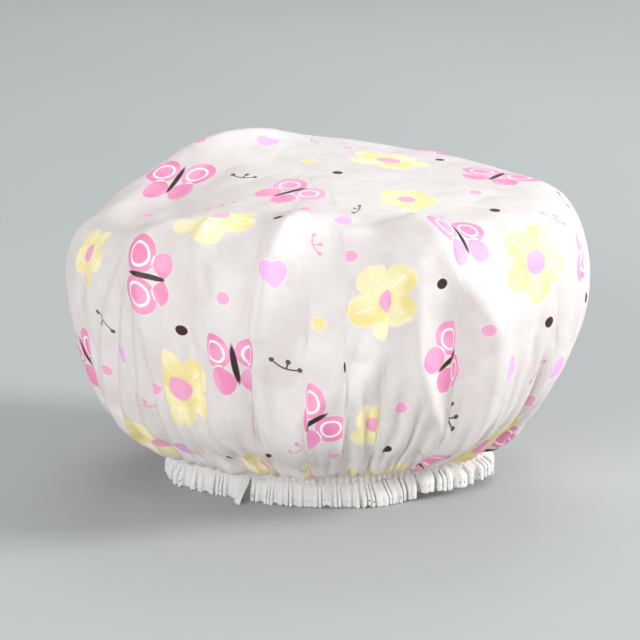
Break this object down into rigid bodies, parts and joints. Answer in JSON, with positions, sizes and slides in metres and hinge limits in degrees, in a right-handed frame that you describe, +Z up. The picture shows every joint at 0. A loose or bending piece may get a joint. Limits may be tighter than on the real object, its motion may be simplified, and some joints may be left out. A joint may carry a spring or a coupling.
{
  "type": "shower cap",
  "caption": "Bouffant plastic shower cap with a printed film crown gathered on an elastic hem and a ruffled white lace edge.",
  "frame": {"origin": "on the surface that the lace stands on, under the middle of the cap's outline", "axes": "+Z up, away from the head opening; +X along the cap's long axis, to the right as seen from the front; the front faces -Y"},
  "size_m": [0.247, 0.2112, 0.1556],
  "materials": {
    "film": "milky, slightly see-through plastic film with a soft sheen and a printed flower pattern",
    "lace": "white knitted lace with eyelets, matte",
    "elastic": "white braided elastic, matte",
    "thread": "white polyester sewing thread"
  },
  "bodies": {
    "root": {"crown_film": "film", "lace_trim": "lace", "elastic_band": "elastic", "needle_thread": "thread", "bobbin_thread": "thread", "elastic_bartack": "thread"}
  },
  "joints": []
}
